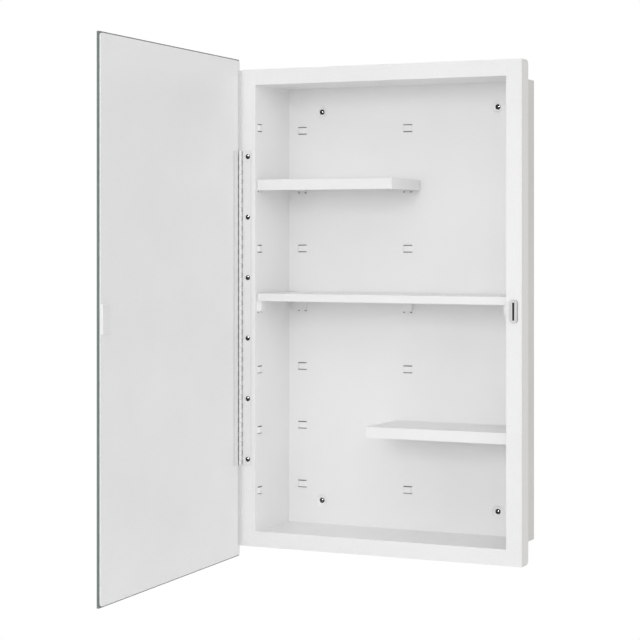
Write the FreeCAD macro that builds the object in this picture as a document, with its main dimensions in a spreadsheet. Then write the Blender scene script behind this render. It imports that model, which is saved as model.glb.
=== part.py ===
# Recessed steel medicine cabinet with a mirror door on a continuous hinge.
#
# Frame: X to the right, Y towards the wall, Z up, in millimetres. The origin is the centre of the
# four wall screws, on the plane where the dished screw seats meet the wall. The cabinet's face and
# its door lie towards -Y. The door is drawn closed about the hinge axis and placed at its open angle.

import FreeCAD, Part
import math
import os
import Sketcher

# Driving sizes: name, value, meaning

SIZES = [
    ("frame_width", 498.5, "outer width of the face border"),
    ("frame_height", 800.0, "outer height of the face border"),
    ("frame_border", 26.0, "width of the face border"),
    ("steel", 1.0, "sheet thickness of the cabinet and its shelves"),
    ("return_depth", 30.5, "depth of the border's return towards the wall"),
    ("return_round", 8.0, "corner radius at the ends of the returns"),
    ("inner_depth", 127.3, "face to the front of the back panel"),
    ("dish_depth", 2.2, "depth of the dished screw seats"),
    ("dish_radius", 11.0, "outer radius of a dished seat"),
    ("dish_floor", 6.5, "radius of a dished seat's flat floor"),
    ("screw_radius", 3.2, "radius of the wall screw holes"),
    ("screw_inset_x", 62.25, "wall screws inside the cabinet sides"),
    ("screw_inset_z", 40.0, "wall screws inside the cabinet top and bottom"),
    ("row_pitch", 101.6, "distance between rows of clip bridges"),
    ("row_drop", 2.3, "middle row below the middle of the frame"),
    ("row_margin", 40.0, "least distance of a row from the top and bottom"),
    ("column_inset", 25.25, "outer columns on the back inside the cabinet sides"),
    ("column_clear", 0.7, "side clips behind the lip of a shelf"),
    ("slit_length", 16.5, "length of a slit and of its bridge"),
    ("slit_gap", 11.4, "distance between the two slits of a bridge"),
    ("slit_height", 1.7, "height of a slit"),
    ("bridge_slack", 0.2, "play of a clip's tongue behind its bridge"),
    ("bridge_ramp", 3.0, "length of a bridge's sloping end"),
    ("seal_thick", 1.6, "thickness of the foam strips behind the slits"),
    ("seal_margin", 4.0, "foam strip past the slits on each side"),
    ("hinge_length", 527.0, "length of the continuous hinge"),
    ("hinge_out", 0.9, "hinge axis outside the border's left edge"),
    ("barrel_radius", 2.9, "outer radius of the hinge knuckles"),
    ("barrel_clear", 0.3, "knuckles clear of the border and of the pan"),
    ("leaf_thick", 1.0, "thickness of the hinge leaves"),
    ("leaf_width", 19.2, "hinge axis to the edge of a leaf"),
    ("pin_radius", 1.25, "radius of the hinge pin"),
    ("pin_clear", 0.05, "running clearance round the hinge pin"),
    ("notch_clear", 1.1, "notches of a leaf clear of the other leaf's knuckles"),
    ("knuckle_clear", 0.15, "each knuckle short of its share at both ends"),
    ("rivet_end", 9.5, "outer rivets inside the ends of the hinge"),
    ("rivet_edge", 5.9, "rivets inside the edge of the leaf"),
    ("rivet_head", 4.2, "radius of a rivet head"),
    ("rivet_dome", 2.3, "height of a rivet head"),
    ("rivet_bevel", 1.5, "bevel round a rivet head"),
    ("rivet_shank", 2.4, "radius of a rivet shank"),
    ("rivet_tail", 3.6, "radius of a rivet's formed tail"),
    ("rivet_tail_thick", 1.2, "thickness of a rivet's formed tail"),
    ("rivet_clear", 0.05, "rivet shank clear of its hole"),
    ("catch_width", 12.0, "width of the catch housing"),
    ("catch_height", 36.0, "height of the catch housing"),
    ("catch_raise", 1.9, "middle of the catch above the middle of the frame"),
    ("catch_round", 4.5, "corner radius of the catch housing"),
    ("catch_proud", 3.1, "catch in front of the border"),
    ("catch_behind", 9.0, "catch behind the face plane"),
    ("catch_wall", 1.0, "side walls and floor of the catch housing"),
    ("catch_slot_clear", 0.2, "border slot round the catch housing"),
    ("collar_lip", 2.4, "collar of the catch past its housing"),
    ("collar_thick", 1.2, "thickness of that collar"),
    ("magnet_width", 3.4, "width of the bar magnet"),
    ("magnet_recess", 1.4, "magnet behind the front of the pole plates"),
    ("pole_length", 28.0, "length of the magnet and its pole plates"),
    ("pole_clear", 0.1, "pole plates and magnet clear of the housing"),
    ("clip_thick", 1.0, "sheet thickness of the shelf clips"),
    ("wing_clear", 0.35, "wings of a clip outside the ends of its bridge"),
    ("clip_reach", 7.0, "how far a clip's ledge and apron stand out"),
    ("clip_ledge", 13.7, "top of the ledge above the middle of its row"),
    ("wing_drop", 3.2, "lower end of a clip's wings and apron below its row"),
    ("tongue_clear", 0.5, "tongue clear of the bridge's sloping ends"),
    ("tongue_drop", 8.0, "lower end of the tongue below its row"),
    ("shelf_clear", 1.0, "shelf ends clear of the cabinet sides"),
    ("shelf_setback", 6.0, "shelf fronts behind the face"),
    ("shelf_rear", 0.6, "shelf backs clear of the back panel"),
    ("shelf_round", 1.2, "bend radius along the shelf edges"),
    ("half_lip", 18.0, "height of the half shelves"),
    ("half_past", 23.5, "half shelves past the middle of the cabinet"),
    ("full_lip", 13.2, "height of the full shelf"),
    ("full_return", 14.0, "inward return under the full shelf"),
    ("mirror_past", 7.5, "mirror past the hinge axis"),
    ("mirror_over_side", 1.1, "mirror past the border at the catch"),
    ("mirror_over_end", 17.5, "mirror past the border at top and bottom"),
    ("glass_thick", 3.0, "thickness of the mirror glass"),
    ("backing_thick", 0.4, "thickness of the mirror's backing film"),
    ("pan_inset", 2.0, "pan inside the mirror's edge"),
    ("pan_steel", 0.8, "sheet thickness of the door pan"),
    ("pan_depth", 2.0, "depth of the door pan"),
    ("pan_round", 5.0, "corner radius of the door pan"),
    ("tape_width", 26.0, "width of a strip of mounting tape"),
    ("tape_margin", 28.0, "outer tape strips inside the pan's edge"),
    ("tape_end", 4.0, "tape ends inside the pan's ends"),
    ("strike_inset", 0.5, "strike plate inside the pan's edge"),
    ("strike_width", 25.0, "width of the strike plate"),
    ("strike_height", 45.0, "height of the strike plate"),
    ("strike_bevel", 0.8, "bevel round the strike plate's face"),
    ("strike_clear", 0.3, "strike clear of the catch when closed"),
    ("door_angle_deg", 85.4, "door angle from closed"),
]

COLUMNS = 3
KNUCKLES = 67
RIVETS = 6
TAPES = 4
UPPER_ROW, MIDDLE_ROW, LOWER_ROW = 2, 0, -2

# Small rounds that repeat many times have flats, which keeps the model light

BARREL_STEP = 30
BORE_SIDES = 6
RIVET_SIDES = 12
SHANK_SIDES = 8

doc = FreeCAD.newDocument("MedicineCabinet")
sheet = doc.addObject("Spreadsheet::Sheet", "Sizes")
for line, (alias, number, meaning) in enumerate(SIZES, start=1):
    sheet.set("A%d" % line, meaning)
    sheet.set("B%d" % line, str(number))
    sheet.setAlias("B%d" % line, alias)
doc.recompute()

# Places that several pieces share, as expressions of the driving sizes

X_OUT = "(Sizes.frame_width / 2)"
X_IN = "(Sizes.frame_width / 2 - Sizes.frame_border)"
Z_OUT = "(Sizes.frame_height / 2)"
Z_IN = "(Sizes.frame_height / 2 - Sizes.frame_border)"
BACK = "(-Sizes.dish_depth - Sizes.steel)"
FACE = "(%s - Sizes.inner_depth)" % BACK
RETURN = "(%s + Sizes.return_depth)" % FACE
FLANGE = "(%s + Sizes.steel)" % FACE
ROWS_UP = "floor((%s - Sizes.row_margin) / Sizes.row_pitch)" % Z_IN
ROWS = "(2 * %s + 1)" % ROWS_UP
LOW_ROW = "(-Sizes.row_drop - %s * Sizes.row_pitch)" % ROWS_UP
ROW_SPAN = "(2 * %s * Sizes.row_pitch)" % ROWS_UP
COLUMN_X = "(%s - Sizes.column_inset)" % X_IN
SCREW_X = "(%s - Sizes.screw_inset_x)" % X_IN
SCREW_Z = "(%s - Sizes.screw_inset_z)" % Z_IN
BRIDGE_RISE = "(Sizes.steel + Sizes.clip_thick + Sizes.bridge_slack)"
CLIP_HALF = "(Sizes.slit_length / 2 + Sizes.wing_clear + Sizes.clip_thick)"
SIDE_COLUMN = "(%s + Sizes.shelf_setback + Sizes.steel + Sizes.column_clear + %s)" % (FACE, CLIP_HALF)
WINDOW = "(Sizes.slit_gap + Sizes.slit_height)"
BRIDGE = "(Sizes.slit_gap - Sizes.slit_height)"
AXIS_OFF = "(Sizes.barrel_radius + Sizes.barrel_clear)"
AXIS_X = "(-%s - Sizes.hinge_out)" % X_OUT
AXIS_Y = "(%s - %s)" % (FACE, AXIS_OFF)
KNUCKLE = "(Sizes.hinge_length / %d)" % KNUCKLES
RIVET_X = "(%s + Sizes.leaf_width - Sizes.rivet_edge)" % AXIS_X
RIVET_LOW = "(Sizes.rivet_end - Sizes.hinge_length / 2)"
RIVET_SPAN = "(Sizes.hinge_length - 2 * Sizes.rivet_end)"
CATCH_X = "(%s - Sizes.frame_border / 2)" % X_OUT
MIRROR_REACH = "(Sizes.hinge_out + Sizes.frame_width + Sizes.mirror_over_side)"
MIRROR_TOP = "(%s + Sizes.mirror_over_end)" % Z_OUT
PAN_LEFT = "(Sizes.pan_inset - Sizes.mirror_past)"
PAN_RIGHT = "(%s - Sizes.pan_inset)" % MIRROR_REACH
PAN_TOP = "(%s - Sizes.pan_inset)" % MIRROR_TOP
PAN_BACK = "(%s + Sizes.pan_depth)" % AXIS_OFF
STRIKE_THICK = "(2 * %s - Sizes.catch_proud - Sizes.strike_clear)" % AXIS_OFF
MARGIN = "Sizes.steel"


def number(expression):
    """The value of an expression of the driving sizes."""
    return float(sheet.evalExpression(expression))


def row_level(row):
    """Height of the middle of a row of bridges, counted from the middle one."""
    return "(%d * Sizes.row_pitch - Sizes.row_drop)" % row


# Sketches and features

def new_body(name):
    body = doc.addObject("PartDesign::Body", name)
    body.Label = name
    return body


def new_sketch(body, name, plane, level="0", shift="0"):
    """A sketch on one of the body's own planes, moved along its normal and along its first axis."""
    sketch = body.newObject("Sketcher::SketchObject", name)
    support = next(item for item in body.Origin.OriginFeatures if item.Role == plane + "_Plane")
    sketch.AttachmentSupport = [(support, "")]
    sketch.MapMode = "FlatFace"
    sketch.setExpression(".AttachmentOffset.Base.x", shift)
    sketch.setExpression(".AttachmentOffset.Base.z", level)
    return sketch


def bind(sketch, kind, index, point, expression):
    """Ties one coordinate of a point to an expression."""
    name = "%s_%d_%d" % (kind, index, point)
    at = sketch.addConstraint(Sketcher.Constraint(kind, -1, 1, index, point, number(expression)))
    sketch.renameConstraint(at, name)
    sketch.setExpression("Constraints." + name, expression)


def add_loop(sketch, points, arcs=None):
    """A closed loop through the points. arcs maps a corner's index to the centre and the turning
    direction (1 anticlockwise, -1 clockwise) of the arc that leaves that corner."""
    arcs = arcs or {}
    places = [FreeCAD.Vector(number(across), number(up), 0) for across, up in points]
    ends = []
    for i, start in enumerate(places):
        stop = places[(i + 1) % len(places)]
        if i in arcs:
            (across, up), turn = arcs[i]
            centre = FreeCAD.Vector(number(across), number(up), 0)
            first, last = (start, stop) if turn > 0 else (stop, start)
            from_angle = math.atan2(first.y - centre.y, first.x - centre.x)
            to_angle = math.atan2(last.y - centre.y, last.x - centre.x)
            if to_angle <= from_angle:
                to_angle += 2 * math.pi
            circle = Part.Circle(centre, FreeCAD.Vector(0, 0, 1), (start - centre).Length)
            index = sketch.addGeometry(Part.ArcOfCircle(circle, from_angle, to_angle), False)
            ends.append((index, 1, 2) if turn > 0 else (index, 2, 1))
        else:
            index = sketch.addGeometry(Part.LineSegment(start, stop), False)
            ends.append((index, 1, 2))
    for i in range(len(points)):
        index, _, leaving = ends[i]
        after, arriving, _ = ends[(i + 1) % len(points)]
        sketch.addConstraint(Sketcher.Constraint("Coincident", index, leaving, after, arriving))
    for i, (across, up) in enumerate(points):
        index, first, _ = ends[i]
        bind(sketch, "DistanceX", index, first, across)
        bind(sketch, "DistanceY", index, first, up)
    for i, ((across, up), _) in arcs.items():
        bind(sketch, "DistanceX", ends[i][0], 3, across)
    return sketch


def add_circle(sketch, across, up, radius):
    centre = FreeCAD.Vector(number(across), number(up), 0)
    circle = Part.Circle(centre, FreeCAD.Vector(0, 0, 1), number(radius))
    index = sketch.addGeometry(circle, False)
    bind(sketch, "DistanceX", index, 3, across)
    bind(sketch, "DistanceY", index, 3, up)
    at = sketch.addConstraint(Sketcher.Constraint("Radius", index, number(radius)))
    sketch.renameConstraint(at, "radius_%d" % index)
    sketch.setExpression("Constraints.radius_%d" % index, radius)
    return sketch


def round_with_flats(across, up, radius, sides):
    """Corners of a regular polygon whose flats lie at the radius."""
    corner = "%s / %.6f" % (radius, math.cos(math.pi / sides))
    turns = [2 * math.pi * (i + 0.5) / sides for i in range(sides)]
    return [("%s + %s * %.6f" % (across, corner, math.cos(turn)),
             "%s + %s * %.6f" % (up, corner, math.sin(turn))) for turn in turns]


def rectangle(left, right, low, high):
    return [(left, low), (right, low), (right, high), (left, high)]


def rounded_rectangle(left, right, low, high, radius):
    """Points and arcs of a rectangle with round corners, anticlockwise."""
    inner_left, inner_right = "%s + %s" % (left, radius), "%s - %s" % (right, radius)
    inner_low, inner_high = "%s + %s" % (low, radius), "%s - %s" % (high, radius)
    points = [
        (inner_left, low), (inner_right, low), (right, inner_low), (right, inner_high),
        (inner_right, high), (inner_left, high), (left, inner_high), (left, inner_low),
    ]
    arcs = {
        1: ((inner_right, inner_low), 1),
        3: ((inner_right, inner_high), 1),
        5: ((inner_left, inner_high), 1),
        7: ((inner_left, inner_low), 1),
    }
    return points, arcs


def pad(body, sketch, length, centred=False, reverse=False):
    feature = body.newObject("PartDesign::Pad", sketch.Name + "Pad")
    feature.Profile = sketch
    feature.Midplane = centred
    feature.Reversed = reverse
    feature.setExpression("Length", length)
    doc.recompute()
    return feature


def pocket(body, sketch, length=None, centred=False, reverse=False):
    """Cuts the sketch out of the body: to a length, or right through both ways."""
    before = body.Shape.Volume
    feature = body.newObject("PartDesign::Pocket", sketch.Name + "Pocket")
    feature.Profile = sketch
    feature.Reversed = reverse
    if length is None:
        feature.Type = "ThroughAll"
        feature.Midplane = True
    else:
        feature.Midplane = centred
        feature.setExpression("Length", length)
    doc.recompute()
    if body.Shape.Volume > before * (1 - 1e-9):
        raise RuntimeError("nothing was cut by " + feature.Name)
    return feature


def pattern(body, features, sketch, steps):
    """Repeats features along the sketch's axes: each step is an axis, a length and a count."""
    grid = body.newObject("PartDesign::MultiTransform", body.Name + "Grid")
    grid.Originals = features
    body.Tip = grid
    lines = []
    for axis, length, count in steps:
        line = body.newObject("PartDesign::LinearPattern", body.Name + "Line")
        line.Direction = (sketch, [axis])
        line.setExpression("Length", length)
        line.setExpression("Occurrences", str(count))
        lines.append(line)
    grid.Transformations = lines
    body.Tip = grid
    doc.recompute()
    return grid


def dress(body, kind, size_name, size, chosen):
    """A fillet or a chamfer on the edges of the body's present shape that the test picks."""
    names = ["Edge%d" % i for i, edge in enumerate(body.Shape.Edges, start=1) if chosen(edge)]
    base = body.Tip
    feature = body.newObject("PartDesign::" + kind, body.Name + kind)
    feature.Base = (base, names)
    feature.setExpression(size_name, size)
    doc.recompute()
    return feature


def fillet(body, radius, chosen):
    return dress(body, "Fillet", "Radius", radius, chosen)


def chamfer(body, size, chosen):
    return dress(body, "Chamfer", "Size", size, chosen)


def place(item, across="0", depth="0", up="0", axis=(0, 0, 1), angle=None):
    item.Placement = FreeCAD.Placement(FreeCAD.Vector(), FreeCAD.Rotation(FreeCAD.Vector(*axis), 1))
    item.setExpression(".Placement.Base.x", across)
    item.setExpression(".Placement.Base.y", depth)
    item.setExpression(".Placement.Base.z", up)
    item.setExpression(".Placement.Rotation.Angle", angle or "0")
    return item


def place_on_door(item):
    """Turns a piece drawn about the hinge axis from closed to the open angle."""
    return place(item, AXIS_X, AXIS_Y, axis=(0, 0, -1), angle="Sizes.door_angle_deg")


def copies(label, master, places):
    """A node of separate, identical solids: links to one master piece."""
    links = []
    for i, (across, depth, up, angle) in enumerate(places):
        link = doc.addObject("App::Link", "%s_%d" % (label, i + 1))
        link.setLink(master)
        links.append(place(link, across, depth, up, angle=angle))
    return compound(label, links)


def compound(label, pieces):
    group = doc.addObject("Part::Compound", label)
    group.Label = label
    group.Links = pieces
    return group


def box(name, left, right, front, back, low, high):
    item = doc.addObject("Part::Box", name)
    item.setExpression("Length", "(%s) - (%s)" % (right, left))
    item.setExpression("Width", "(%s) - (%s)" % (back, front))
    item.setExpression("Height", "(%s) - (%s)" % (high, low))
    return place(item, left, front, low)


# Clip bridges: two slits with a raised bridge between them

def bridge_profile(across, depth):
    """Section of a bridge along its length: across is its middle, and depth turns a distance into
    the cabinet into a place."""
    half = "Sizes.slit_length / 2"
    ramp = "%s - Sizes.bridge_ramp" % half
    inner = [(half, "0"), (ramp, BRIDGE_RISE), ("-(%s)" % ramp, BRIDGE_RISE), ("-" + half, "0")]
    outer = [(along, "%s - Sizes.steel" % rise) for along, rise in reversed(inner)]
    return [("%s + %s" % (across, along), depth % rise) for along, rise in inner + outer]


def side_bridges(body, sign):
    """The column of bridges in an upright side."""
    wall = X_IN if sign > 0 else "-" + X_IN
    outside = "%s + Sizes.steel" % X_IN if sign > 0 else wall
    half_slit, half_window = "Sizes.slit_length / 2", WINDOW + " / 2"
    window = new_sketch(body, body.Name + "Window", "YZ", outside)
    add_loop(window, rectangle("%s - %s" % (SIDE_COLUMN, half_slit), "%s + %s" % (SIDE_COLUMN, half_slit),
                               "%s - %s" % (LOW_ROW, half_window), "%s + %s" % (LOW_ROW, half_window)))
    cut = pocket(body, window, "Sizes.steel")
    section = new_sketch(body, body.Name + "Bridge", "XY", "%s - %s / 2" % (LOW_ROW, BRIDGE))
    inward = "%s %s (%%s)" % (wall, "-" if sign > 0 else "+")
    add_loop(section, [(across, along) for along, across in bridge_profile(SIDE_COLUMN, inward)])
    strap = pad(body, section, BRIDGE)
    pattern(body, [cut, strap], window, [("V_Axis", ROW_SPAN, ROWS)])


def back_bridges(body):
    """The grid of bridges in the back panel."""
    left = "-" + COLUMN_X
    half_slit, half_window = "Sizes.slit_length / 2", WINDOW + " / 2"
    window = new_sketch(body, "BackWindow", "XZ", "-" + BACK)
    add_loop(window, rectangle("%s - %s" % (left, half_slit), "%s + %s" % (left, half_slit),
                               "%s - %s" % (LOW_ROW, half_window), "%s + %s" % (LOW_ROW, half_window)))
    cut = pocket(body, window, "Sizes.steel")
    section = new_sketch(body, "BackBridge", "XY", "%s - %s / 2" % (LOW_ROW, BRIDGE))
    add_loop(section, bridge_profile(left, BACK + " - (%s)"))
    strap = pad(body, section, BRIDGE)
    pattern(body, [cut, strap], window,
            [("H_Axis", "2 * " + COLUMN_X, COLUMNS), ("V_Axis", ROW_SPAN, ROWS)])


# Cabinet body: four folded channels with mitred corners, and a back

def channel(label, upright, sign):
    """One side of the cabinet: wall, face border and return, folded from one sheet."""
    outer, inner = (X_OUT, X_IN) if upright else (Z_OUT, Z_IN)
    side = "%s" if sign > 0 else "-(%s)"
    thick = "Sizes.steel"
    section = [
        (outer, FACE), (inner, FACE), (inner, BACK), ("%s + %s" % (inner, thick), BACK),
        ("%s + %s" % (inner, thick), FLANGE), ("%s - %s" % (outer, thick), FLANGE),
        ("%s - %s" % (outer, thick), RETURN), (outer, RETURN),
    ]
    body = new_body(label)
    sketch = new_sketch(body, label + "Section", "XY" if upright else "YZ")
    points = [(side % across, depth) for across, depth in section]
    add_loop(sketch, points if upright else [(depth, across) for across, depth in points])
    length = "Sizes.frame_height" if upright else "Sizes.frame_width"
    pad(body, sketch, length, centred=True)

    end, rear = number(length) / 2, number(RETURN)

    def at_return_end(edge):
        middle = edge.CenterOfMass
        along = middle.z if upright else middle.x
        return abs(abs(along) - end) < 1e-6 and abs(middle.y - rear) < 1e-6

    fillet(body, "Sizes.return_round", at_return_end)
    mitre = new_sketch(body, label + "Mitre", "XZ")
    for turn in (1, -1):
        other = "%s" if turn > 0 else "-(%s)"
        corner = ("%s - %s" % (X_IN, MARGIN), "%s - %s" % (Z_IN, MARGIN))
        tip = ("%s + %s" % (X_OUT, MARGIN), "%s + %s" % (Z_OUT, MARGIN))
        waste = (corner[0], tip[1]) if upright else (tip[0], corner[1])
        signs = (side, other) if upright else (other, side)
        add_loop(mitre, [(signs[0] % x, signs[1] % z) for x, z in (corner, tip, waste)])
    pocket(body, mitre)
    return body


def make_side_left():
    body = channel("side_left", True, -1)
    side_bridges(body, -1)
    holes = new_sketch(body, "BorderRivetHoles", "XZ", "-" + FACE)
    add_loop(holes, round_with_flats(RIVET_X, RIVET_LOW, RIVET_HOLE, SHANK_SIDES))
    cut = pocket(body, holes, "Sizes.steel")
    pattern(body, [cut], holes, [("V_Axis", RIVET_SPAN, RIVETS)])
    return body


def catch_outline(extra):
    """Left, right, low and high of the catch housing, grown by a margin."""
    half_width = "(Sizes.catch_width / 2 + %s)" % extra
    half_height = "(Sizes.catch_height / 2 + %s)" % extra
    return ("%s - %s" % (CATCH_X, half_width), "%s + %s" % (CATCH_X, half_width),
            "Sizes.catch_raise - " + half_height, "Sizes.catch_raise + " + half_height)


def make_side_right():
    body = channel("side_right", True, 1)
    side_bridges(body, 1)
    slot = new_sketch(body, "CatchSlot", "XZ", "-" + FACE)
    radius = "(Sizes.catch_round + Sizes.catch_slot_clear)"
    points, arcs = rounded_rectangle(*catch_outline("Sizes.catch_slot_clear"), radius)
    add_loop(slot, points, arcs)
    pocket(body, slot, "Sizes.steel")
    return body


def make_back_panel():
    body = new_body("back_panel")
    wide, tall = "(%s + Sizes.steel)" % X_IN, "(%s + Sizes.steel)" % Z_IN
    sheet_outline = new_sketch(body, "BackSheet", "XZ", "Sizes.dish_depth")
    add_loop(sheet_outline, rectangle("-" + wide, wide, "-" + tall, tall))
    pad(body, sheet_outline, "Sizes.steel")
    back_bridges(body)

    left, low = "-" + SCREW_X, "-" + SCREW_Z
    opening = new_sketch(body, "DishOpening", "XZ", "-" + BACK)
    add_circle(opening, left, low, "Sizes.dish_radius")
    cut = pocket(body, opening, "Sizes.steel")
    section = new_sketch(body, "DishSection", "XY", low, left)
    front, rear = BACK, "(-Sizes.dish_depth)"
    floor_front, floor_rear = "(-Sizes.steel)", "0"
    add_loop(section, [
        ("Sizes.screw_radius", floor_front), ("Sizes.dish_floor", floor_front), ("Sizes.dish_radius", front),
        ("Sizes.dish_radius", rear), ("Sizes.dish_floor", floor_rear), ("Sizes.screw_radius", floor_rear),
    ])
    dish = body.newObject("PartDesign::Revolution", "Dish")
    dish.Profile = section
    dish.ReferenceAxis = (section, ["V_Axis"])
    dish.Angle = 360
    doc.recompute()
    pattern(body, [cut, dish], opening,
            [("H_Axis", "2 * " + SCREW_X, 2), ("V_Axis", "2 * " + SCREW_Z, 2)])
    return body


def make_seals():
    """Foam strips that close the slits from outside."""
    half = "(Sizes.slit_length / 2 + Sizes.seal_margin)"
    low = "(%s - %s / 2 - Sizes.seal_margin)" % (LOW_ROW, WINDOW)
    high = "(%s + %s + %s / 2 + Sizes.seal_margin)" % (LOW_ROW, ROW_SPAN, WINDOW)
    back, sides = [], []
    for i in range(COLUMNS):
        middle = "(%d * %s)" % (i - COLUMNS // 2, COLUMN_X)
        back.append(box("back_seal_%d" % (i + 1), "%s - %s" % (middle, half), "%s + %s" % (middle, half),
                        "(-Sizes.dish_depth)", "(Sizes.seal_thick - Sizes.dish_depth)", low, high))
    wall, skin = "(%s + Sizes.steel)" % X_IN, "(%s + Sizes.steel + Sizes.seal_thick)" % X_IN
    for i, (left, right) in enumerate((("-" + skin, "(-%s)" % wall), (wall, skin))):
        sides.append(box("side_seal_%d" % (i + 1), left, right, "(%s - %s)" % (SIDE_COLUMN, half),
                         "(%s + %s)" % (SIDE_COLUMN, half), low, high))
    return [compound("slot_seals_back", back), compound("slot_seals_side", sides)]


# Continuous hinge

RIVET_HOLE = "(Sizes.rivet_shank + Sizes.rivet_clear)"


def hinge_leaf(label, sign, first_notch, notches):
    """A leaf curled round the pin and notched for the other leaf's knuckles. The hinge axis is its
    Z axis, and sign tells on which side of the axis the flat of the leaf lies."""
    body = new_body(label)
    side = "%s" if sign > 0 else "-(%s)"
    inner = "(%s - Sizes.leaf_thick)" % AXIS_OFF
    curl_end = "sqrt(Sizes.barrel_radius ^ 2 - %s ^ 2)" % inner
    turns = [math.radians(turn) for turn in range(90, 391, BARREL_STEP)]
    curl = [("Sizes.barrel_radius * %.6f" % math.cos(turn),
             side % ("Sizes.barrel_radius * %.6f" % math.sin(turn))) for turn in turns]
    section = new_sketch(body, label + "Curl", "XY")
    add_loop(section, [("Sizes.leaf_width", side % AXIS_OFF), ("0", side % AXIS_OFF), *curl,
                       (curl_end, side % inner), ("Sizes.leaf_width", side % inner)])
    pad(body, section, "Sizes.hinge_length", centred=True)
    bore = new_sketch(body, label + "Bore", "XY")
    add_loop(bore, round_with_flats("0", "0", "(Sizes.pin_radius + Sizes.pin_clear)", BORE_SIDES))
    pocket(body, bore)
    notch = new_sketch(body, label + "Notch", "XZ")
    reach = "(Sizes.barrel_radius + Sizes.notch_clear)"
    low = "(%d * %s - Sizes.hinge_length / 2)" % (first_notch, KNUCKLE)
    add_loop(notch, rectangle("-" + reach, reach, "%s - Sizes.knuckle_clear" % low,
                              "%s + %s + Sizes.knuckle_clear" % (low, KNUCKLE)))
    cut = pocket(body, notch)
    span = "(%d * %s)" % (2 * (notches - 1), KNUCKLE)
    pattern(body, [cut], notch, [("V_Axis", span, notches)])
    return body


def make_hinge():
    frame_leaf = hinge_leaf("hinge_leaf_frame", 1, 1, KNUCKLES // 2)
    holes = new_sketch(frame_leaf, "LeafRivetHoles", "XZ", "-" + AXIS_OFF)
    middle = "(Sizes.leaf_width - Sizes.rivet_edge)"
    add_loop(holes, round_with_flats(middle, RIVET_LOW, RIVET_HOLE, SHANK_SIDES))
    cut = pocket(frame_leaf, holes, "2 * Sizes.leaf_thick", centred=True)
    pattern(frame_leaf, [cut], holes, [("V_Axis", RIVET_SPAN, RIVETS)])
    place(frame_leaf, AXIS_X, AXIS_Y)
    door_leaf = hinge_leaf("hinge_leaf_door", -1, 0, KNUCKLES // 2 + 1)
    place_on_door(door_leaf)
    pin = doc.addObject("Part::Cylinder", "hinge_pin")
    pin.Label = "hinge_pin"
    pin.setExpression("Radius", "Sizes.pin_radius")
    pin.setExpression("Height", "Sizes.hinge_length")
    place(pin, AXIS_X, AXIS_Y, "-Sizes.hinge_length / 2")
    return [frame_leaf, door_leaf, pin]


def make_rivets():
    """Domed rivets: the face of the border is at the master's origin, its head towards -Y."""
    master = new_body("rivet")
    steps = [
        ("Head", "Sizes.leaf_thick", "Sizes.rivet_dome", "Sizes.rivet_head", RIVET_SIDES),
        ("Shank", "-Sizes.steel", "Sizes.steel + Sizes.leaf_thick", "Sizes.rivet_shank", SHANK_SIDES),
        ("Tail", "-Sizes.steel - Sizes.rivet_tail_thick", "Sizes.rivet_tail_thick",
         "Sizes.rivet_tail", SHANK_SIDES),
    ]
    for name, level, length, radius, sides in steps:
        outline = new_sketch(master, "Rivet" + name, "XZ", level)
        add_loop(outline, round_with_flats("0", "0", radius, sides))
        pad(master, outline, length)
        if name == "Head":
            crown = -number("Sizes.leaf_thick + Sizes.rivet_dome")
            chamfer(master, "Sizes.rivet_bevel", lambda edge: abs(edge.CenterOfMass.y - crown) < 1e-6)
    levels = ["%s + %d * %s / %d" % (RIVET_LOW, i, RIVET_SPAN, RIVETS - 1) for i in range(RIVETS)]
    return copies("hinge_rivets", master, [(RIVET_X, FACE, level, None) for level in levels])


# Magnetic catch and its strike

def make_catch():
    front = "(%s - Sizes.catch_proud)" % FACE
    depth = "(Sizes.catch_proud + Sizes.catch_behind)"
    housing = new_body("catch_housing")
    outline = new_sketch(housing, "CatchCup", "XZ", "-(%s + Sizes.catch_behind)" % FACE)
    points, arcs = rounded_rectangle(*catch_outline("0"), "Sizes.catch_round")
    add_loop(outline, points, arcs)
    pad(housing, outline, depth)
    collar = new_sketch(housing, "CatchCollar", "XZ", "-(%s + Sizes.collar_thick)" % FLANGE)
    points, arcs = rounded_rectangle(*catch_outline("Sizes.collar_lip"), "Sizes.catch_round")
    add_loop(collar, points, arcs)
    pad(housing, collar, "Sizes.collar_thick")
    cavity = new_sketch(housing, "CatchCavity", "XZ", "-" + front)
    half_wide = "(Sizes.catch_width / 2 - Sizes.catch_wall)"
    half_tall = "(Sizes.pole_length / 2 + Sizes.pole_clear)"
    add_loop(cavity, rectangle("%s - %s" % (CATCH_X, half_wide), "%s + %s" % (CATCH_X, half_wide),
                               "Sizes.catch_raise - " + half_tall, "Sizes.catch_raise + " + half_tall))
    pocket(housing, cavity, "%s - Sizes.catch_wall" % depth)

    floor = "(%s + Sizes.catch_behind - Sizes.catch_wall)" % FACE
    low, high = ["(Sizes.catch_raise %s Sizes.pole_length / 2)" % sign for sign in "-+"]
    half_magnet = "(Sizes.magnet_width / 2)"
    outer = "(%s - Sizes.pole_clear)" % half_wide
    poles = [
        box("pole_plate_1", "(%s - %s)" % (CATCH_X, outer), "(%s - %s)" % (CATCH_X, half_magnet),
            front, floor, low, high),
        box("pole_plate_2", "(%s + %s)" % (CATCH_X, half_magnet), "(%s + %s)" % (CATCH_X, outer),
            front, floor, low, high),
    ]
    magnet = box("catch_magnet", "(%s - %s)" % (CATCH_X, half_magnet), "(%s + %s)" % (CATCH_X, half_magnet),
                 "(%s + Sizes.magnet_recess)" % front, floor, low, high)
    magnet.Label = "catch_magnet"
    return [housing, compound("catch_pole_plates", poles), magnet]


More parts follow.
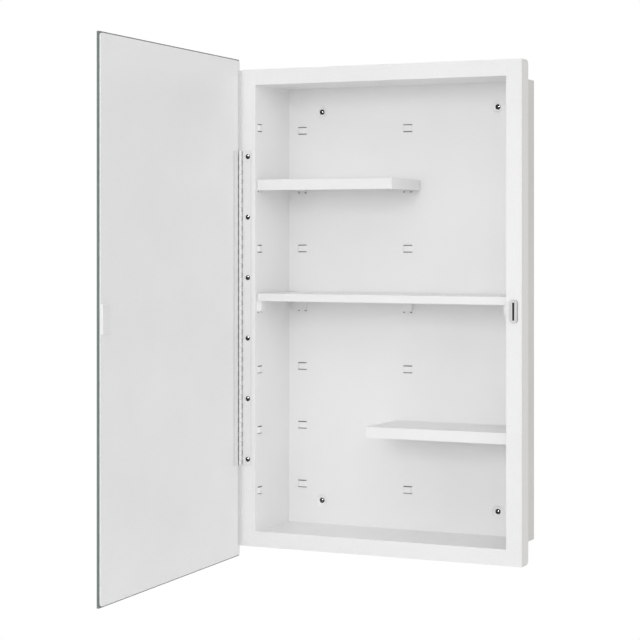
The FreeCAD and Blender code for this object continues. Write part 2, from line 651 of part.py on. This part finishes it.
def make_strike():
    """The strike plate, drawn closed, from the pan's edge to past the catch."""
    body = new_body("strike_plate")
    edge = "(%s - Sizes.strike_inset)" % PAN_RIGHT
    outline = new_sketch(body, "StrikeOutline", "XZ", AXIS_OFF)
    add_loop(outline, rectangle("%s - Sizes.strike_width" % edge, edge,
                                "-Sizes.strike_height / 2", "Sizes.strike_height / 2"))
    pad(body, outline, STRIKE_THICK, reverse=True)
    face = number(STRIKE_THICK) - number(AXIS_OFF)
    chamfer(body, "Sizes.strike_bevel", lambda edge: abs(edge.CenterOfMass.y - face) < 1e-6)
    return place_on_door(body)


# Shelves and their clips

def make_clip():
    """A folded clip: ledge, apron, two wings, and a tongue that drops behind the bridge. The wall is the
    master's XZ plane, the inside of the cabinet lies towards -Y, and its row is at Z = 0."""
    body = new_body("clip")
    thick, reach = "Sizes.clip_thick", "-Sizes.clip_reach"
    plate_end = "(%s / 2)" % WINDOW
    side = new_sketch(body, "ClipSide", "YZ")
    add_loop(side, [("0", "-Sizes.wing_drop"), ("0", "Sizes.clip_ledge"), (reach, "Sizes.clip_ledge"),
                    (reach, "-Sizes.wing_drop")])
    pad(body, side, "2 * " + CLIP_HALF, centred=True)
    hollow = new_sketch(body, "ClipHollow", "YZ")
    past, below = "(%s + %s)" % (reach, thick), "(-Sizes.wing_drop - %s)" % thick
    under = "(Sizes.clip_ledge - %s)" % thick
    add_loop(hollow, [("-" + thick, under), (past, under), (past, below), (thick, below),
                      (thick, plate_end), ("-" + thick, plate_end)])
    pocket(body, hollow, "2 * (%s - %s)" % (CLIP_HALF, thick), centred=True)
    half_tongue = "(Sizes.slit_length / 2 - Sizes.bridge_ramp - Sizes.tongue_clear)"
    tongue = new_sketch(body, "ClipTongue", "XZ")
    add_loop(tongue, rectangle("-" + half_tongue, half_tongue,
                               "-Sizes.tongue_drop", "%s + %s" % (plate_end, thick)))
    pad(body, tongue, thick)
    return body


def make_clips(master):
    left, right = "-" + COLUMN_X, COLUMN_X
    groups = [
        ("clips_upper", UPPER_ROW, True, False, (left, "0")),
        ("clips_middle", MIDDLE_ROW, True, True, (left, "0", right)),
        ("clips_lower", LOWER_ROW, False, True, ("0", right)),
    ]
    nodes = []
    for label, row, on_left, on_right, columns in groups:
        level = row_level(row)
        places = [(column, BACK, level, None) for column in columns]
        if on_left:
            places.append(("-" + X_IN, SIDE_COLUMN, level, "90"))
        if on_right:
            places.append((X_IN, SIDE_COLUMN, level, "-90"))
        nodes.append(copies(label, master, places))
    return nodes


SHELF_FRONT = "(%s + Sizes.shelf_setback)" % FACE
SHELF_BACK = "(%s - Sizes.shelf_rear)" % BACK
SHELF_END = "(%s - Sizes.shelf_clear)" % X_IN


def shelf_block(label, left, right, low, height):
    body = new_body(label)
    outline = new_sketch(body, label + "Outline", "XY", low)
    add_loop(outline, rectangle(left, right, SHELF_FRONT, SHELF_BACK))
    pad(body, outline, height)
    return body


def make_half_shelf(label, sign, row):
    """A folded shelf with lips along its front and its free end, open at the wall and the back."""
    side = "%s" if sign > 0 else "-(%s)"
    top = "(%s + Sizes.clip_ledge + Sizes.steel)" % row_level(row)
    low = "(%s - Sizes.half_lip)" % top
    ends = [side % SHELF_END, side % "-Sizes.half_past"]
    left, right = ends if sign < 0 else reversed(ends)
    body = shelf_block(label, left, right, low, "Sizes.half_lip")
    front, upper, free = number(SHELF_FRONT), number(top), number(side % "-Sizes.half_past")

    def outer_bend(edge):
        middle = edge.CenterOfMass
        at_front, at_top = abs(middle.y - front) < 1e-6, abs(middle.z - upper) < 1e-6
        at_free = abs(middle.x - free) < 1e-6
        return (at_front and at_top) or (at_free and at_top) or (at_front and at_free)

    fillet(body, "Sizes.shelf_round", outer_bend)
    hollow = new_sketch(body, label + "Hollow", "XY", low)
    lip = "-Sizes.half_past + Sizes.steel"
    add_loop(hollow, rectangle(side % lip, side % ("%s + Sizes.steel" % SHELF_END),
                               "%s + Sizes.steel" % SHELF_FRONT, "%s + Sizes.steel" % SHELF_BACK))
    pocket(body, hollow, "Sizes.half_lip - Sizes.steel", reverse=True)
    return body


def make_full_shelf():
    """A folded shelf with lips all round, each with a return that sits on the clips."""
    label = "shelf_middle"
    low = "(%s + Sizes.clip_ledge)" % row_level(MIDDLE_ROW)
    body = shelf_block(label, "-" + SHELF_END, SHELF_END, low, "Sizes.full_lip")
    front, upper = number(SHELF_FRONT), number("%s + Sizes.full_lip" % low)
    lower = number(low)

    def front_bend(edge):
        middle = edge.CenterOfMass
        at_level = min(abs(middle.z - upper), abs(middle.z - lower)) < 1e-6
        return abs(middle.y - front) < 1e-6 and at_level

    fillet(body, "Sizes.shelf_round", front_bend)
    cuts = [
        ("Hollow", "%s + Sizes.steel" % low, "Sizes.steel", "Sizes.full_lip - 2 * Sizes.steel"),
        ("Window", low, "Sizes.full_return", "2 * Sizes.steel"),
    ]
    for name, level, inset, height in cuts:
        end = "(%s - %s)" % (SHELF_END, inset)
        sketch = new_sketch(body, label + name, "XY", level)
        add_loop(sketch, rectangle("-" + end, end, "%s + %s" % (SHELF_FRONT, inset),
                                   "%s - %s" % (SHELF_BACK, inset)))
        pocket(body, sketch, height, reverse=True)
    return body


# Door, drawn closed about the hinge axis

def mirror_sheet(label, front, thick):
    """A sheet of the mirror's full size. front is the distance of its back in front of the axis."""
    body = new_body(label)
    outline = new_sketch(body, label + "Outline", "XZ", front)
    add_loop(outline, rectangle("-Sizes.mirror_past", MIRROR_REACH, "-" + MIRROR_TOP, MIRROR_TOP))
    pad(body, outline, thick)
    return body


def make_door_pan():
    body = new_body("door_pan")
    left, right = PAN_LEFT, PAN_RIGHT
    outline = new_sketch(body, "PanOutline", "XZ", AXIS_OFF)
    points, arcs = rounded_rectangle(left, right, "-" + PAN_TOP, PAN_TOP, "Sizes.pan_round")
    add_loop(outline, points, arcs)
    pad(body, outline, "Sizes.pan_depth")
    wall = "Sizes.pan_steel"
    tray = new_sketch(body, "PanTray", "XZ", PAN_BACK)
    points, arcs = rounded_rectangle("(%s + %s)" % (left, wall), "(%s - %s)" % (right, wall),
                                     "(%s - %s)" % (wall, PAN_TOP), "(%s - %s)" % (PAN_TOP, wall),
                                     "(Sizes.pan_round - %s)" % wall)
    add_loop(tray, points, arcs)
    pocket(body, tray, "Sizes.pan_depth - %s" % wall)
    return place_on_door(body)


def make_mirror():
    backing = mirror_sheet("mirror_backing", PAN_BACK, "Sizes.backing_thick")
    glass_back = "(%s + Sizes.backing_thick)" % PAN_BACK
    glass = mirror_sheet("mirror_glass", glass_back, "Sizes.glass_thick")
    return [place_on_door(backing), place_on_door(glass)]


def make_tapes():
    """Upright strips of foam tape between the pan and the mirror's backing."""
    high = "(%s - Sizes.pan_steel - Sizes.tape_end)" % PAN_TOP
    step = "((%s - %s - 2 * Sizes.tape_margin - Sizes.tape_width) / %d)" % (PAN_RIGHT, PAN_LEFT, TAPES - 1)
    body_face = "(%s + Sizes.pan_steel)" % AXIS_OFF
    strips = []
    for i in range(TAPES):
        left = "(%s + Sizes.tape_margin + %d * %s)" % (PAN_LEFT, i, step)
        strips.append(box("tape_%d" % (i + 1), left, "(%s + Sizes.tape_width)" % left,
                          "(-%s)" % PAN_BACK, "(-%s)" % body_face, "(-%s)" % high, high))
    return place_on_door(compound("mirror_tape", strips))


# Build, check and write

nodes = [
    make_side_left(),
    make_side_right(),
    channel("top_channel", False, 1),
    channel("bottom_channel", False, -1),
    make_back_panel(),
    *make_seals(),
    *make_hinge(),
    make_rivets(),
    *make_catch(),
    make_strike(),
    *make_clips(make_clip()),
    make_half_shelf("shelf_upper", -1, UPPER_ROW),
    make_full_shelf(),
    make_half_shelf("shelf_lower", 1, LOWER_ROW),
    make_door_pan(),
    *make_mirror(),
    make_tapes(),
]
doc.recompute()

for item in doc.Objects:
    if "Invalid" in item.State or "Error" in item.State:
        raise RuntimeError("%s did not build: %s" % (item.Label, item.State))
for node in nodes:
    if node.Shape.isNull() or not node.Shape.isValid() or not node.Shape.Solids:
        raise RuntimeError("%s has no valid solid" % node.Label)

os.makedirs("parts", exist_ok=True)
for node in nodes:
    node.Shape.exportStep("parts/%s.step" % node.Label)
    print(node.Label, len(node.Shape.Solids), round(node.Shape.Volume, 1))
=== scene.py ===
import math

import bmesh
import bpy
from mathutils import Matrix, Vector


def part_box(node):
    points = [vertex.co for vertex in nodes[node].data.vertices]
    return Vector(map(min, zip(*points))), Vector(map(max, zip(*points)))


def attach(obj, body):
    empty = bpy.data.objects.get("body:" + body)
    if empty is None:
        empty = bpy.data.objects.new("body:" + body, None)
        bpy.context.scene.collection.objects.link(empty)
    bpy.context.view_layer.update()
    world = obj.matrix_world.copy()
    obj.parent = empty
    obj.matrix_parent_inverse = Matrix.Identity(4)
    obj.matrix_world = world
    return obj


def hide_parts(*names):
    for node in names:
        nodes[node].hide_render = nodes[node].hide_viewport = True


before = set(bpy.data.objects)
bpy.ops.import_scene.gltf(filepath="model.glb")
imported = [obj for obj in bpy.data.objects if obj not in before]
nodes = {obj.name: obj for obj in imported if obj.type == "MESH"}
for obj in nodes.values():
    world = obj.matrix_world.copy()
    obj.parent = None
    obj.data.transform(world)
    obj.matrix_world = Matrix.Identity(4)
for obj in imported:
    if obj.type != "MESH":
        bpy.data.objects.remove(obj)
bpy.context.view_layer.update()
scene = bpy.context.scene

# Places and sizes, in metres. Profiles are (radius, depth) pairs.

DOOR_ANGLE = math.radians(85.4)
DOOR_ALONG = Vector((math.cos(DOOR_ANGLE), -math.sin(DOOR_ANGLE), 0))
MIRROR_FRONT = Vector((-math.sin(DOOR_ANGLE), -math.cos(DOOR_ANGLE), 0))
BORDER_BACK = -0.0998
# Outward faces of each piece, which get painted shade with a warm tint.
SHADED_OUTSIDE = {"side_left": (-1, 0, 0), "side_right": (1, 0, 0), "top_channel": (0, 0, 1),
           "bottom_channel": (0, 0, -1), "back_panel": (0, 1, 0)}

RIVET_COUNT = 6
RIVET_HEAD, RIVET_DOME, RIVET_SEAT = 0.0042, 0.0023, 0.001
RIVET_SHANK = [(0.0042, 0.0001), (0.0024, 0.0001), (0.0024, 0.002), (0.0036, 0.002), (0.0036, 0.0032),
               (0, 0.0032)]

SCREW_X, SCREW_Y, SCREW_Z = 0.161, -0.00115, 0.334
SCREW_TURNS = ((-1, 1, 20), (1, 1, 75), (-1, -1, 130), (1, -1, 95))
SCREW_HEAD, SCREW_DOME, SCREW_SIDES = 0.0046, 0.0022, 36
SCREW_SHANK = [(0.0046, 0.0001), (0.0028, 0.0004), (0.0028, 0.001), (0, 0.001)]
SLOT_PLACE, SLOT_SIZE = (0, -0.0021, 0), (0.0012, 0.0022, 0.02)

BEAD_RADIUS, BEAD_FOOT, BEAD_STEPS = 0.0021, 0.00319, 14
BEAD_OFF_HINGE, BEAD_BELOW_TOP = 0.0005, 0.0015

DOME_STEPS, LATHE_SIDES = 6, 32
SHARP_ANGLE = math.radians(40)

FLOOR_RADIUS, FLOOR_SIDES, FLOOR_HEIGHT, FLOOR_PALE = 3.2, 96, -1.35, 0.7

CAMERA_PLACE, CAMERA_TURN = (1.30657, -3.05348, 0.12173), math.radians(25.84)
CAMERA_LENS, CAMERA_SENSOR, CAMERA_SHIFT, CAMERA_REACH = 110.65, 36.0, (0.00535, -0.1321), 50.0


# Materials

NOISE_LOW, NOISE_HIGH = 0.3, 0.7

COAT_ROUGHNESS = 0.33
CLOUD_SCALE, FLECK_SCALE, PEEL_SCALE = 7.0, 900.0, 650.0
# Painted shade with a warm tint for the outside faces: lighter on the border's returns, darker on the
# box behind them.
RETURN_PAINTED_SHADE = (0.79, 0.78, 0.755), (0.81, 0.80, 0.775)
BOX_PAINTED_SHADE = (0.68, 0.655, 0.625), (0.72, 0.695, 0.665)
CREVICE_SHADE_FLOOR, EDGE_SHADE_FLOOR = 0.1, 0.15
FACING_LIMIT = 0.9

SILVER = (0.86, 0.88, 0.88)
SILVER_SHADES = (0.855, 0.875, 0.875), (0.865, 0.885, 0.885)
GLASS_EDGE = (0.13, 0.18, 0.165), (0.18, 0.24, 0.22)


def grey(value):
    return (value, value, value)


def new_node(tree, kind, **values):
    """A node with some of its inputs or settings given by name."""
    made = tree.nodes.new(kind)
    for key, value in values.items():
        if key in made.inputs:
            made.inputs[key].default_value = value
        else:
            setattr(made, key, value)
    return made


class Shader:
    """A material with one Principled shader and short ways to add nodes to it."""

    def __init__(self, name, colour, roughness, metallic=0.0, specular=0.5):
        self.material = bpy.data.materials.new(name)
        self.material.use_nodes = True
        self.tree = self.material.node_tree
        self.shader = self.tree.nodes["Principled BSDF"]
        self.place = self.node("ShaderNodeTexCoord")
        self.set("Base Color", (*colour, 1))
        self.set("Roughness", roughness)
        self.set("Metallic", metallic)
        self.set("Specular IOR Level", specular)

    def node(self, kind, **values):
        return new_node(self.tree, kind, **values)

    def link(self, source, target):
        self.tree.links.new(source, target)

    def set(self, socket, value):
        self.shader.inputs[socket].default_value = value

    def feed(self, socket, source):
        self.link(source, self.shader.inputs[socket])

    def noise(self, scale, detail=3.0, stretch=None):
        texture = self.node("ShaderNodeTexNoise", Scale=scale, Detail=detail)
        source = self.place.outputs["Object"]
        if stretch:
            mapping = self.node("ShaderNodeMapping", Scale=stretch)
            self.link(source, mapping.inputs["Vector"])
            source = mapping.outputs["Vector"]
        self.link(source, texture.inputs["Vector"])
        return texture.outputs["Fac"]

    def ramp(self, source, low, high, start=NOISE_LOW, end=NOISE_HIGH):
        """A colour that goes from low to high as a value goes from start to end."""
        ramp = self.node("ShaderNodeValToRGB")
        for element, position, colour in zip(ramp.color_ramp.elements, (start, end), (low, high)):
            element.position = position
            element.color = (*colour, 1)
        self.link(source, ramp.inputs["Fac"])
        return ramp.outputs["Color"]

    def mix(self, factor, first, second):
        mix = self.node("ShaderNodeMix", data_type="RGBA")
        self.link(factor, mix.inputs["Factor"])
        for socket, value in ((mix.inputs[6], first), (mix.inputs[7], second)):
            if isinstance(value, tuple):
                socket.default_value = (*value, 1)
            else:
                self.link(value, socket)
        return mix.outputs[2]

    def times(self, first, second):
        mix = self.node("ShaderNodeMix", data_type="RGBA", blend_type="MULTIPLY", Factor=1.0)
        self.link(first, mix.inputs[6])
        self.link(second, mix.inputs[7])
        return mix.outputs[2]

    def over(self, source, limit):
        """1 where a value is over a limit, otherwise 0."""
        step = self.node("ShaderNodeMath", operation="GREATER_THAN")
        self.link(source, step.inputs[0])
        step.inputs[1].default_value = limit
        return step.outputs["Value"]

    def facing(self, direction):
        """1 where the surface's own normal lies along a direction, otherwise 0."""
        dot = self.node("ShaderNodeVectorMath", operation="DOT_PRODUCT")
        self.link(self.place.outputs["Normal"], dot.inputs[0])
        dot.inputs[1].default_value = direction
        return self.over(dot.outputs["Value"], FACING_LIMIT)

    def behind(self, depth):
        """1 where the surface lies further back than a depth along Y, otherwise 0."""
        axes = self.node("ShaderNodeSeparateXYZ")
        self.link(self.place.outputs["Object"], axes.inputs["Vector"])
        return self.over(axes.outputs["Y"], depth)

    def painted_crevice_shade(self, distance, floor):
        """Painted shade: grey that falls to a floor value where other surfaces are close."""
        close = self.node("ShaderNodeAmbientOcclusion", Distance=distance)
        return self.ramp(close.outputs["AO"], grey(floor), grey(1.0), 0.3, 0.85)

    def bump(self, height, strength, distance):
        bump = self.node("ShaderNodeBump", Strength=strength, Distance=distance)
        self.link(height, bump.inputs["Height"])
        self.feed("Normal", bump.outputs["Normal"])


def powder_coat(name, value, crevice_shade_reach=None, shaded_outside=None):
    """Powder coat: a fine orange-peel skin with a faint cloud in its tone. Where crevice shade is asked
    for, close
    corners are darkened: painted shade. Outside faces are painted warmer and darker, darkest on the box
    behind the border: painted shade with a warm tint."""
    s = Shader(name, grey(value), COAT_ROUGHNESS)
    cloud = s.noise(CLOUD_SCALE, 2.0)
    fleck = s.noise(FLECK_SCALE, 2.0)
    flecked = s.ramp(fleck, grey(0.95), grey(1.0), end=0.65)
    tint = s.times(s.ramp(cloud, grey(value * 0.983), grey(value * 1.012)), flecked)
    # Painted shade: close corners darkened by ambient occlusion.
    if crevice_shade_reach:
        tint = s.times(tint, s.painted_crevice_shade(crevice_shade_reach, CREVICE_SHADE_FLOOR))
    # Outside faces painted warmer and darker, the box behind the border darkest: painted shade with a
    # warm tint.
    if shaded_outside:
        outside_shade = s.mix(s.behind(BORDER_BACK), s.ramp(cloud, *RETURN_PAINTED_SHADE), s.ramp(cloud, *BOX_PAINTED_SHADE))
        tint = s.mix(s.facing(shaded_outside), tint, s.times(outside_shade, flecked))
    s.feed("Base Color", tint)
    s.feed("Roughness", s.ramp(fleck, grey(COAT_ROUGHNESS - 0.06), grey(COAT_ROUGHNESS + 0.08)))
    s.bump(s.noise(PEEL_SCALE), 0.04, 0.0004)
    return s.material


def plated(name, value, roughness, grain, edge_shade_reach=None):
    """Plated or polished metal with fine marks along Z. Where edge shade is asked for, its close corners
    are darkened: painted shade.
    """
    s = Shader(name, grey(value), roughness, metallic=1.0)
    marks = s.noise(grain, 4.0, (1.0, 1.0, 0.08))
    tint = s.ramp(marks, grey(value * 0.88), grey(value * 1.08))
    # Painted shade: close corners darkened by ambient occlusion.
    if edge_shade_reach:
        tint = s.times(tint, s.painted_crevice_shade(edge_shade_reach, EDGE_SHADE_FLOOR))
    s.feed("Base Color", tint)
    s.feed("Roughness", s.ramp(marks, grey(roughness * 0.7), grey(roughness * 1.4)))
    s.bump(marks, 0.05, 0.0002)
    return s.material


def dark_matt(name, value, scale):
    """Foam, film or ferrite: a dull surface with pores."""
    s = Shader(name, grey(value), 0.85, specular=0.2)
    pores = s.noise(scale, 4.0)
    s.feed("Base Color", s.ramp(pores, grey(value * 0.7), grey(value * 1.35)))
    s.bump(pores, 0.25, 0.0005)
    return s.material


def mirror_glass():
    """Silver on the front, dark green ground glass along the edges."""
    s = Shader("mirror", SILVER, 0.02)
    front = s.facing(MIRROR_FRONT)
    haze = s.noise(4.0, 2.0)
    ground = s.ramp(s.noise(700.0), *GLASS_EDGE)
    s.feed("Base Color", s.mix(front, ground, s.ramp(haze, *SILVER_SHADES)))
    s.feed("Metallic", front)
    s.feed("Roughness", s.mix(front, grey(0.25), s.ramp(haze, grey(0.012), grey(0.018))))
    return s.material


RIVET = plated("rivet_metal", 0.05, 0.14, 800.0)
SCREW = plated("screw_metal", 0.05, 0.16, 700.0)
# The gap beads' grey stands in for the shade in the gap: painted shade.
GAP_SHADE = powder_coat("gap_bead_painted_shade", 0.66)
FINISHES = {
    powder_coat("white_powder_coat", 0.9): ("clips_upper", "clips_middle", "clips_lower"),
    # The door pan is a lighter copy of the body's white: painted light.
    powder_coat("door_coat_painted_light", 0.93): ("door_pan",),
    powder_coat("shelf_powder_coat", 0.89): ("shelf_upper", "shelf_middle", "shelf_lower"),
    # The hinge's crevices are darkened: painted shade.
    powder_coat("hinge_powder_coat", 0.86, crevice_shade_reach=0.0025): ("hinge_leaf_frame", "hinge_leaf_door"),
    powder_coat("strike_enamel", 0.9): ("strike_plate",),
    # The catch's edges are darkened where they meet the border: painted shade.
    plated("catch_plating", 0.7, 0.15, 500.0, edge_shade_reach=0.004): ("catch_housing", "catch_pole_plates"),
    RIVET: ("hinge_rivets",),
    plated("pin_steel", 0.4, 0.3, 600.0): ("hinge_pin",),
    # On the slot seals this dark foam is a sheet behind the slits: painted shade. On the mirror tape it
    # is the tape's own colour.
    dark_matt("foam", 0.21, 900.0): ("slot_seals_back", "slot_seals_side", "mirror_tape"),
    dark_matt("backing_film", 0.2, 300.0): ("mirror_backing",),
    dark_matt("ferrite", 0.03, 500.0): ("catch_magnet",),
    mirror_glass(): ("mirror_glass",),
}
for name, direction in SHADED_OUTSIDE.items():
    FINISHES[powder_coat("white_" + name, 0.9, shaded_outside=direction)] = (name,)
for material, names in FINISHES.items():
    for name in names:
        slots = nodes[name].data.materials
        slots.clear()
        slots.append(material)


# Added pieces: rivet heads, wall screws and grey beads beside the hinge, which are painted shade in the
# gap

def add_object(bm, name):
    """Puts a form into the scene as an object."""
    mesh = bpy.data.meshes.new(name)
    bm.to_mesh(mesh)
    bm.free()
    piece = bpy.data.objects.new(name, mesh)
    scene.collection.objects.link(piece)
    return piece


def finish_piece(bm, name, material, body):
    bmesh.ops.recalc_face_normals(bm, faces=bm.faces)
    for face in bm.faces:
        face.smooth = True
    for edge in bm.edges:
        edge.smooth = edge.calc_face_angle(0.0) < SHARP_ANGLE
    piece = add_object(bm, name)
    piece.data.materials.append(material)
    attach(piece, body)
    return piece


def lathe(bm, profile, centre, sides=LATHE_SIDES):
    """A closed turned form about the Y axis, with a profile from one pole to the other."""
    turns = [2 * math.pi * i / sides for i in range(sides)]
    rings = []
    for radius, depth in profile:
        if radius < 1e-6:
            rings.append([bm.verts.new(centre + Vector((0, depth, 0)))])
            continue
        rings.append([bm.verts.new(centre + Vector((radius * math.cos(t), depth, radius * math.sin(t))))
                      for t in turns])
    for a, b in zip(rings, rings[1:]):
        for i in range(sides):
            corners = [a[i % len(a)], a[(i + 1) % len(a)], b[(i + 1) % len(b)], b[i % len(b)]]
            bm.faces.new(list(dict.fromkeys(corners)))


def dome(radius, height):
    """Profile of a dome from its crown to its rim, towards +Y."""
    ball = (radius ** 2 + height ** 2) / (2 * height)
    sweep = math.asin(radius / ball)
    turns = [sweep * i / DOME_STEPS for i in range(DOME_STEPS + 1)]
    return [(ball * math.sin(t), ball * (1 - math.cos(t)) - height) for t in turns]


def rivet_heads():
    """Smooth rivets in the places of the flat-sided ones."""
    low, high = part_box("hinge_rivets")
    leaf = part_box("hinge_leaf_frame")[1].y
    radius = (high.x - low.x) / 2
    first, last = low.z + radius, high.z - radius
    bm = bmesh.new()
    for i in range(RIVET_COUNT):
        height = first + (last - first) * i / (RIVET_COUNT - 1)
        centre = Vector(((low.x + high.x) / 2, leaf - RIVET_SEAT, height))
        lathe(bm, dome(RIVET_HEAD, RIVET_DOME) + RIVET_SHANK, centre)
    piece = finish_piece(bm, "hinge_rivet_heads", RIVET, "cabinet")
    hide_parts("hinge_rivets")
    return piece


def slotted_head():
    """A round screw head with a slot cut across its crown."""
    bm = bmesh.new()
    lathe(bm, dome(SCREW_HEAD, SCREW_DOME) + SCREW_SHANK, Vector((0, 0, 0)), SCREW_SIDES)
    bmesh.ops.recalc_face_normals(bm, faces=bm.faces)
    cutter = bmesh.new()
    block = Matrix.Translation(SLOT_PLACE) @ Matrix.Diagonal((*SLOT_SIZE, 1))
    bmesh.ops.create_cube(cutter, matrix=block)
    pieces = [add_object(bm, "head"), add_object(cutter, "slot")]
    cut = pieces[0].modifiers.new("slot", "BOOLEAN")
    cut.operation, cut.object = "DIFFERENCE", pieces[1]
    shown = pieces[0].evaluated_get(bpy.context.evaluated_depsgraph_get())
    head = bpy.data.meshes.new_from_object(shown)
    for piece in pieces:
        bpy.data.meshes.remove(piece.data)
    return head


def wall_screws():
    """Round-head screws in the dished seats, each slot at its own angle."""
    head = slotted_head()
    made = []
    for i, (x, z, turn) in enumerate(SCREW_TURNS):
        bm = bmesh.new()
        bm.from_mesh(head)
        turned = Matrix.Rotation(math.radians(turn), 4, "Y")
        bm.transform(Matrix.Translation((x * SCREW_X, SCREW_Y, z * SCREW_Z)) @ turned)
        made.append(finish_piece(bm, "wall_screw_%d" % (i + 1), SCREW, "cabinet"))
    return made


def gap_shade_beads():
    """Grey beads on the pan that fill the gap beside the border, above and below the hinge: grey pieces
    put where there is only shade, painted shade. Each is rounded about the hinge's axis, so it clears
    the border as the door turns."""
    low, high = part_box("hinge_pin")
    axis = (low + high) / 2
    start, end = high.z + BEAD_OFF_HINGE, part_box("top_channel")[1].z - BEAD_BELOW_TOP
    turns = [math.pi * i / BEAD_STEPS for i in range(BEAD_STEPS + 1)]
    bead = [(BEAD_RADIUS * math.cos(t), -BEAD_RADIUS * math.sin(t)) for t in turns]
    section = [(BEAD_RADIUS, BEAD_FOOT), *bead, (-BEAD_RADIUS, BEAD_FOOT)]
    for name, bottom, top in (("hinge_gap_shade_upper", start, end), ("hinge_gap_shade_lower", -end, -start)):
        bm = bmesh.new()
        rings = [[bm.verts.new(axis + DOOR_ALONG * u + MIRROR_FRONT * v + Vector((0, 0, z)))
                  for u, v in section] for z in (bottom, top)]
        for i in range(len(section)):
            j = (i + 1) % len(section)
            bm.faces.new((rings[0][i], rings[0][j], rings[1][j], rings[1][i]))
        for ring in rings:
            bm.faces.new(ring)
        finish_piece(bm, name, GAP_SHADE, "door")


rivets, screws = [rivet_heads()], wall_screws()
gap_shade_beads()


# Stage: a floor well below the cabinet, which hangs on a wall, and the light and camera

def looked_at(tree):
    """1 for a ray from the camera, metal or glass, otherwise 0."""
    path = new_node(tree, "ShaderNodeLightPath")
    seen = path.outputs["Is Camera Ray"]
    for ray in ("Is Glossy Ray", "Is Transmission Ray"):
        either = new_node(tree, "ShaderNodeMath", operation="MAXIMUM")
        tree.links.new(seen, either.inputs[0])
        tree.links.new(path.outputs[ray], either.inputs[1])
        seen = either.outputs["Value"]
    return seen


def floor():
    """A pale disc that keeps the shadow, and is paler still where it is looked at."""
    bm = bmesh.new()
    bmesh.ops.create_circle(bm, cap_ends=True, segments=FLOOR_SIDES, radius=FLOOR_RADIUS)
    s = Shader("floor_paint", grey(0.82), 0.7)
    s.feed("Base Color", s.ramp(s.noise(3.0), grey(0.80), grey(0.84)))
    pale = s.node("ShaderNodeMath", operation="MULTIPLY")
    s.link(looked_at(s.tree), pale.inputs[0])
    pale.inputs[1].default_value = FLOOR_PALE
    white = s.node("ShaderNodeEmission", Color=(1, 1, 1, 1), Strength=1.0)
    mixed = s.node("ShaderNodeMixShader")
    s.link(pale.outputs["Value"], mixed.inputs["Fac"])
    s.link(s.shader.outputs["BSDF"], mixed.inputs[1])
    s.link(white.outputs["Emission"], mixed.inputs[2])
    s.link(mixed.outputs["Shader"], s.tree.nodes["Material Output"].inputs["Surface"])
    piece = add_object(bm, "floor")
    piece.data.materials.append(s.material)
    piece.location.z = FLOOR_HEIGHT


def lamp(name, place, target, size, power, mirrored=False):
    """A soft box. Metal and glass show it only where it is mirrored."""
    light = bpy.data.lights.new(name, "AREA")
    light.shape = "RECTANGLE"
    light.size, light.size_y = size
    light.energy = power
    piece = bpy.data.objects.new(name, light)
    piece.location = place
    piece.rotation_euler = (Vector(target) - Vector(place)).to_track_quat("-Z", "Y").to_euler()
    piece.visible_glossy = mirrored
    scene.collection.objects.link(piece)
    return piece


def glint(name, place, target, size, power, pieces):
    """A soft box that lights only some small polished heads."""
    receivers = bpy.data.collections.new(name)
    for piece in pieces:
        receivers.objects.link(piece)
    box = lamp(name, place, target, size, power, mirrored=True)
    box.light_linking.receiver_collection = receivers


def world_light(towards, dim, bright):
    """White light all round, brightest from one direction. The camera, metal and glass see plain white
    instead."""
    world = bpy.data.worlds.new("studio")
    world.use_nodes = True
    tree = world.node_tree
    background = tree.nodes["Background"]
    background.inputs["Color"].default_value = (1, 1, 1, 1)
    place = new_node(tree, "ShaderNodeTexCoord")
    along = new_node(tree, "ShaderNodeVectorMath", operation="DOT_PRODUCT")
    along.inputs[1].default_value = Vector(towards).normalized()
    level = new_node(tree, "ShaderNodeMapRange", **{"From Min": -1.0, "To Min": dim, "To Max": bright})
    strength = new_node(tree, "ShaderNodeMapRange", **{"To Max": 1.0})
    tree.links.new(place.outputs["Generated"], along.inputs[0])
    tree.links.new(along.outputs["Value"], level.inputs["Value"])
    tree.links.new(looked_at(tree), strength.inputs["Value"])
    tree.links.new(level.outputs["Result"], strength.inputs["To Min"])
    tree.links.new(strength.outputs["Result"], background.inputs["Strength"])
    scene.world = world


def camera():
    """The photo's view, level, with a shift for its framing."""
    data = bpy.data.cameras.new("camera")
    data.sensor_fit = "HORIZONTAL"
    data.sensor_width = CAMERA_SENSOR
    data.lens = CAMERA_LENS
    data.shift_x, data.shift_y = CAMERA_SHIFT
    data.clip_end = CAMERA_REACH
    piece = bpy.data.objects.new("camera", data)
    piece.location = CAMERA_PLACE
    piece.rotation_euler = (math.radians(90), 0, CAMERA_TURN)
    scene.collection.objects.link(piece)
    scene.camera = piece


floor()
world_light((1, 0, 1), 0.16, 0.42)
lamp("front", (0.65, -4.5, 0.75), (0.0, 0.0, 0.0), (2.4, 2.0), 58.0)
lamp("side", (4.1, -1.5, 0.3), (0.0, -0.2, 0.0), (3.0, 3.0), 50.0)
lamp("left", (-1.6, -4.2, 0.3), (0.0, -0.1, 0.0), (2.0, 2.4), 15.0)
lamp("high", (2.4, -3.0, 2.0), (0.0, -0.1, 0.0), (1.6, 1.6), 8.0)
lamp("top", (0.4, -2.4, 2.6), (0.0, -0.1, 0.0), (3.0, 2.0), 14.0)
lamp("rear", (-2.5, 3.0, 0.3), (0.0, 0.0, 0.0), (3.0, 2.0), 85.0)
glint("rivet_glint", (0.4, -2.55, 2.4), (-0.2, -0.1, 0.0), (1.3, 1.3), 1100.0, rivets)
glint("screw_glint", (0.6, -3.4, 1.0), (0.0, 0.0, 0.0), (1.0, 1.0), 700.0, screws)
camera()
scene.view_settings.view_transform = "Standard"
